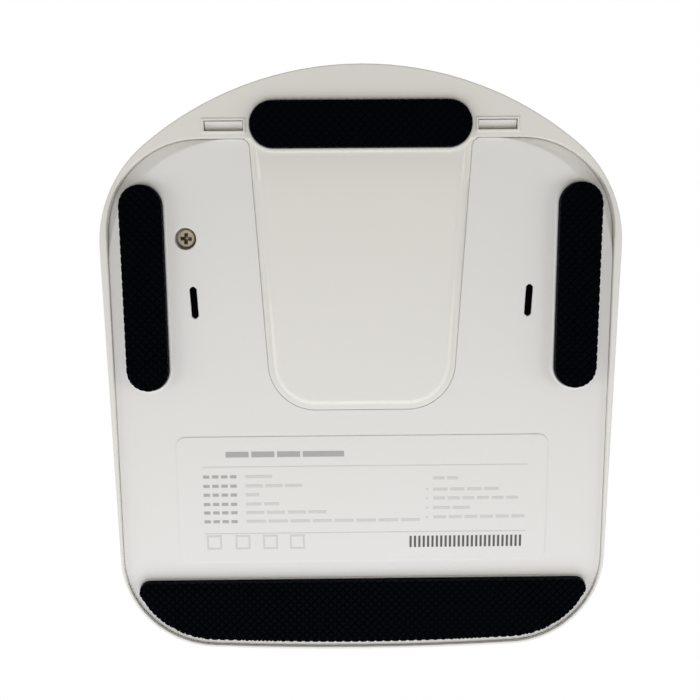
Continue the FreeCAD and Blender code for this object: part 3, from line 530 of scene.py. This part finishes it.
def grey_print(bm):
    """Title dashes and the short dashes of the terms."""
    for reach in TITLE_DASHES:
        strip(bm, reach, (TITLE_LEVEL - TITLE_HEIGHT / 2, TITLE_LEVEL + TITLE_HEIGHT / 2))
    term = (TERM_REACH[0] - TERM_REACH[1]) / TERM_DASHES - DASH_SPACE
    for level in TERM_ROWS:
        dashes(bm, *TERM_REACH, level, term)


def pale_print(bm):
    """Dividers, values, notes with bullets and plain square marks."""
    for level in DIVIDER_LEVELS:
        strip(bm, DIVIDER_REACH, (level - LINE_WIDTH / 2, level + LINE_WIDTH / 2))
    for level, end in zip(TERM_ROWS, VALUE_ENDS):
        dashes(bm, VALUE_START, end, level, VALUE_DASH)
    for level, end in zip(NOTE_ROWS, NOTE_ENDS):
        dashes(bm, NOTE_START, end, level, NOTE_DASH)
    for level in NOTE_ROWS[1:]:
        strip(bm, (BULLET, BULLET - BULLET_SIZE), (level - BULLET_SIZE / 2, level + BULLET_SIZE / 2))
    inner = MARK_SIZE / 2 - LINE_WIDTH
    outer = MARK_SIZE / 2 + LINE_WIDTH
    for place in MARK_PLACES:
        for inside, outside in ((inner, outer), (-inner, -outer)):
            strip(bm, (place + inside, place + outside), (MARK_LEVEL - inner, MARK_LEVEL + inner))
            strip(bm, (place - outer, place + outer), (MARK_LEVEL + inside, MARK_LEVEL + outside))


for pad in ("rear_pad", "left_pad", "right_pad", "front_pad"):
    knurled_pad(pad)
cross_screw()
leaf_spring("left")
leaf_spring("right")
print_patches("panel_bars", DARK_INK, dark_print)
print_patches("panel_terms", GREY_INK, grey_print)
print_patches("panel_rows", PALE_INK, pale_print)


# Stage, light and camera

def pale_floor():
    """Floor that shows from above with the dock's shadow, and lets the view and the light from below through.

    Its matt white paint is even, without a mirror."""
    bm = bmesh.new()
    bmesh.ops.create_grid(bm, x_segments=1, y_segments=1, size=FLOOR_REACH,
                          matrix=Matrix.Translation((0, 0, -FLOOR_DROP)))
    floor = bpy.data.objects.new("pale_floor", mesh_of(bm, "pale_floor"))
    bpy.context.scene.collection.objects.link(floor)
    material, tree = new_material("matt_white_floor")
    rays = add(tree, "LightPath", {})
    seen = add(tree, "Math", {0: rays.outputs["Is Camera Ray"], 1: rays.outputs["Is Glossy Ray"]},
               operation="MAXIMUM")
    under = add(tree, "NewGeometry", {}).outputs["Backfacing"]
    above = add(tree, "Math", {0: 1.0, 1: under}, operation="SUBTRACT")
    shown = add(tree, "Math", {0: seen.outputs[0], 1: above.outputs[0]}, operation="MULTIPLY")
    paint = add(tree, "BsdfDiffuse", {"Color": linear("F2F1EF")})
    clear = add(tree, "BsdfTransparent", {})
    both = add(tree, "MixShader", {0: shown.outputs[0], 1: clear.outputs[0], 2: paint.outputs[0]})
    add(tree, "OutputMaterial", {"Surface": both.outputs[0]})
    floor.data.materials.append(material)


def soft_lamp(name, place, size, power, colour):
    """Square soft lamp that faces the dock."""
    lamp = bpy.data.lights.new(name, "AREA")
    lamp.size = size
    lamp.energy = power
    lamp.color = linear(colour)[:3]
    holder = bpy.data.objects.new(name, lamp)
    holder.location = place
    holder.rotation_euler = (LAMP_TARGET - Vector(place)).to_track_quat("-Z", "Y").to_euler()
    bpy.context.scene.collection.objects.link(holder)


def studio_world():
    """Plain even light, with a white backdrop for what looks straight at it or mirrors it."""
    world = bpy.data.worlds.new("white_studio")
    world.use_nodes = True
    tree = world.node_tree
    tree.nodes.clear()
    rays = add(tree, "LightPath", {})
    straight = add(tree, "Math", {0: rays.outputs["Is Camera Ray"], 1: rays.outputs["Is Glossy Ray"]},
                   operation="MAXIMUM")
    white = add(tree, "Math", {0: straight.outputs[0], 1: rays.outputs["Is Transmission Ray"]}, operation="MAXIMUM")
    even = add(tree, "Background", {"Color": linear(GLOW_COLOUR), "Strength": GLOW_LEVEL})
    backdrop = add(tree, "Background", {"Color": linear("FFFFFF"), "Strength": 1.0})
    both = add(tree, "MixShader", {0: white.outputs[0], 1: even.outputs[0], 2: backdrop.outputs[0]})
    add(tree, "OutputWorld", {"Surface": both.outputs[0]})
    bpy.context.scene.world = world


def photo_camera():
    """Camera under the dock, from the photograph's viewing angle."""
    turn = Matrix.Rotation(ROLL, 3, "Z") @ Matrix.Rotation(PITCH, 3, "X") @ Matrix.Rotation(YAW, 3, "Y")
    to_camera = turn @ Matrix.Diagonal((-1, 1, -1))
    camera = bpy.data.cameras.new("photo_camera")
    camera.sensor_width = SENSOR
    camera.lens = SENSOR * FOCUS_PIXELS / PHOTO_SIZE
    camera.clip_start = CLIP_START
    holder = bpy.data.objects.new("photo_camera", camera)
    stand = to_camera.transposed()
    holder.matrix_world = Matrix.Translation(AIM + stand @ Vector((0, 0, DISTANCE))) @ stand.to_4x4()
    bpy.context.scene.collection.objects.link(holder)
    bpy.context.scene.camera = holder


pale_floor()
studio_world()
for lamp_name, lamp_values in LAMPS.items():
    soft_lamp(lamp_name, *lamp_values)
photo_camera()
bpy.context.scene.view_settings.view_transform = "Standard"
